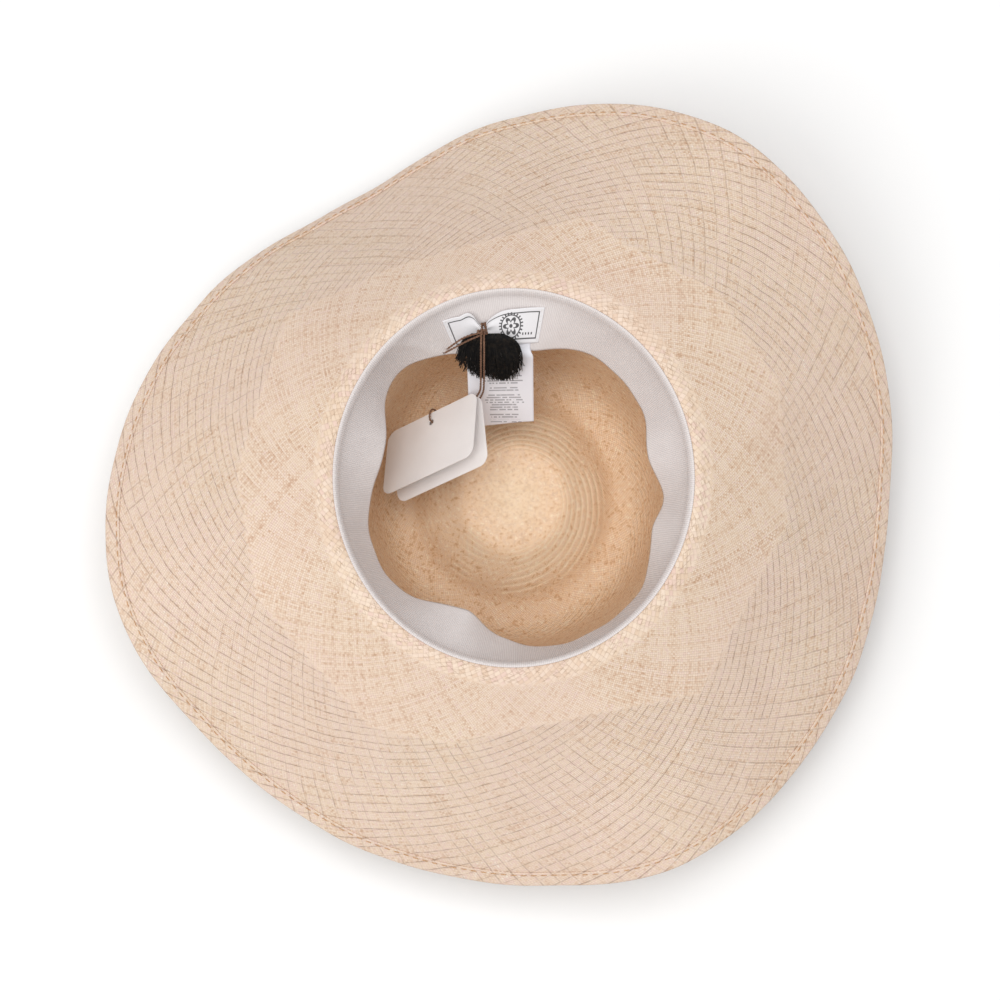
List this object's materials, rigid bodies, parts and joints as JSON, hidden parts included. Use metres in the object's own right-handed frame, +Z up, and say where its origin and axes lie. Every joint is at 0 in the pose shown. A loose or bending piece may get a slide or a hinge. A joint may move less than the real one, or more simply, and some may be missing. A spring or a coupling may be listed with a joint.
{
  "type": "panama hat",
  "caption": "Wide-brimmed woven straw hat lying crown down, with sweatband, woven label, tassel and two blank hang tags on a cord; a ribbon with a flat bow runs round the crown.",
  "frame": {"origin": "centre of the flat ring that the crown rests on, on the crown's axis", "axes": "+Z points up out of the head opening, +Y towards the back of the hat, -X towards the wearer's left"},
  "size_m": [0.4075, 0.4094, 0.1053],
  "materials": {
    "crown_straw": "matt",
    "brim_straw": "matt",
    "hem_straw": "matt",
    "wire": "bare",
    "straw_thread": "matt",
    "sweatband_ribbon": "ribbed",
    "white_thread": "matt",
    "woven_label": "woven",
    "satin_label": "satin",
    "black_thread": "silky",
    "brown_cord": "twisted",
    "tag_card": "smooth",
    "black_ribbon": "ribbed"
  },
  "bodies": {
    "hat": {"crown_tip": "crown_straw", "crown_side": "crown_straw", "straw_brim": "brim_straw", "brim_hem": "hem_straw", "brim_wire": "wire", "hem_stitches": "straw_thread", "sweatband": "sweatband_ribbon", "sweatband_stitches": "white_thread", "woven_label": "woven_label", "label_stitches": "white_thread", "care_label_stub": "satin_label", "hatband": "black_ribbon", "bow_loop_front": "black_ribbon", "bow_loop_back": "black_ribbon", "bow_knot": "black_ribbon"},
    "care_label_flap": {"care_label": "satin_label"},
    "tassel": {"tassel_skirt": "black_thread", "tassel_binding": "black_thread"},
    "tag_cord": {"tag_cord": "brown_cord", "cord_knot": "brown_cord", "cord_tails": "brown_cord"},
    "front_tag": {"front_tag": "tag_card"},
    "back_tag": {"back_tag": "tag_card"}
  },
  "joints": [
    {"name": "care_label_fold", "type": "hinge", "parent": "hat", "child": "care_label_flap", "pos_m": [-0.0069, 0.0652, 0.0818], "axis": [1, 0, 0], "range_deg": [0, 15]},
    {"name": "tassel_sway", "type": "hinge", "parent": "hat", "child": "tassel", "pos_m": [-0.013, 0.0732, 0.0926], "axis": [0, -0.5, 0.866], "range_deg": [-4, 4]},
    {"name": "cord_swing", "type": "hinge", "parent": "hat", "child": "tag_cord", "pos_m": [-0.0157, 0.0743, 0.0976], "axis": [0, 0, 1], "range_deg": [0, 8]},
    {"name": "front_tag_turn", "type": "hinge", "parent": "tag_cord", "child": "front_tag", "pos_m": [-0.04285, 0.03523, 0.04831], "axis": [-0.6877, 0.3378, 0.6426], "range_deg": [-5, 5]},
    {"name": "back_tag_turn", "type": "hinge", "parent": "tag_cord", "child": "back_tag", "pos_m": [-0.0401, 0.03388, 0.04574], "axis": [-0.6826, 0.1251, 0.72], "range_deg": [-5, 0]}
  ]
}
